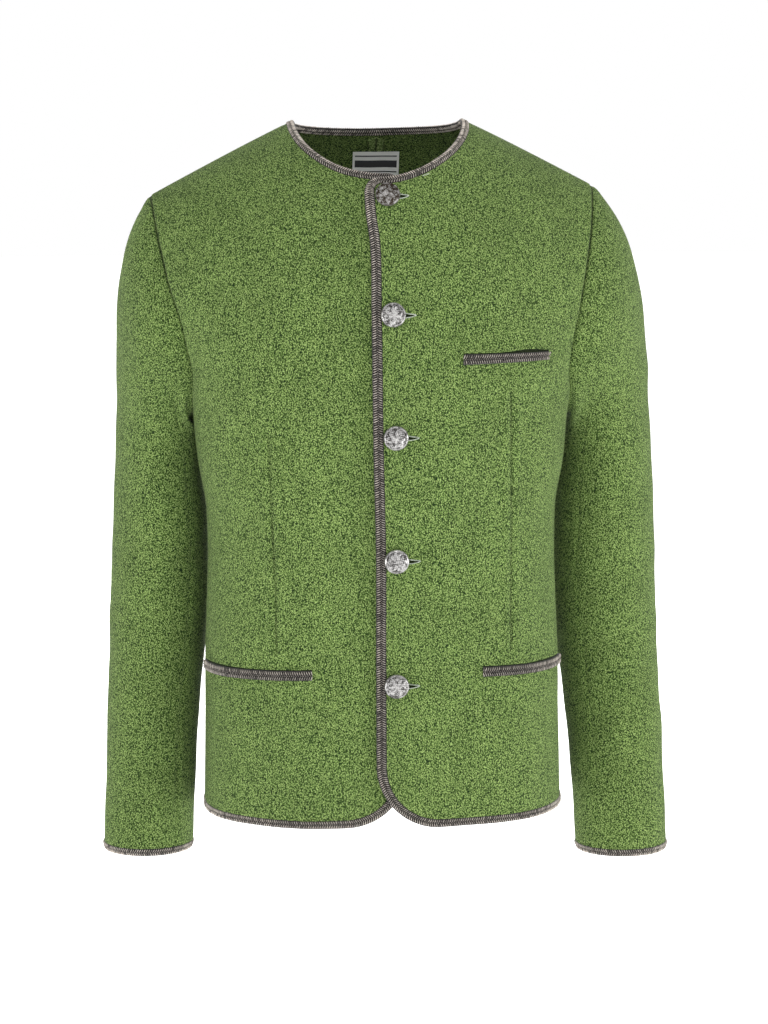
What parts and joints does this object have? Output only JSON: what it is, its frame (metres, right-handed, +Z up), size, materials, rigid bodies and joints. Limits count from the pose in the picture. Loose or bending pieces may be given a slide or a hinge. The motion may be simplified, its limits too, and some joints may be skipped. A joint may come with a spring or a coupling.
{
  "type": "collarless boiled-wool jacket, filled out as worn and held up by its wearer",
  "caption": "Hip-length traditional collarless jacket of green boiled wool with dark braid-bound edges, welt pockets and domed silver buttons.",
  "frame": {"origin": "midway between the two neck points of the shoulder seams, where the jacket rests on the wearer's shoulders", "axes": "+Z up along the body, -Y out of the fronts, +X to the wearer's left, the side whose front lies over"},
  "size_m": [0.5822, 0.2715, 0.7506],
  "materials": {
    "boiled_wool": "matt felted",
    "braid": "matt ribbed",
    "antique_silver": "antiqued satin",
    "woven_label": "woven"
  },
  "bodies": {
    "root": {"front_over": "boiled_wool", "front_under": "boiled_wool", "back_left": "boiled_wool", "back_right": "boiled_wool", "sleeve_top_left": "boiled_wool", "sleeve_top_right": "boiled_wool", "sleeve_under_left": "boiled_wool", "sleeve_under_right": "boiled_wool", "seam_allowance_left": "boiled_wool", "seam_allowance_right": "boiled_wool", "binding_over": "braid", "binding_under": "braid", "binding_neck_left": "braid", "binding_neck_right": "braid", "binding_hem_left": "braid", "binding_hem_right": "braid", "binding_cuff_left": "braid", "binding_cuff_right": "braid", "pocket_breast": "braid", "pocket_hip_left": "braid", "pocket_hip_right": "braid", "button_1": "antique_silver", "button_2": "antique_silver", "button_3": "antique_silver", "button_4": "antique_silver", "button_5": "antique_silver", "neck_label": "woven_label"}
  },
  "joints": []
}
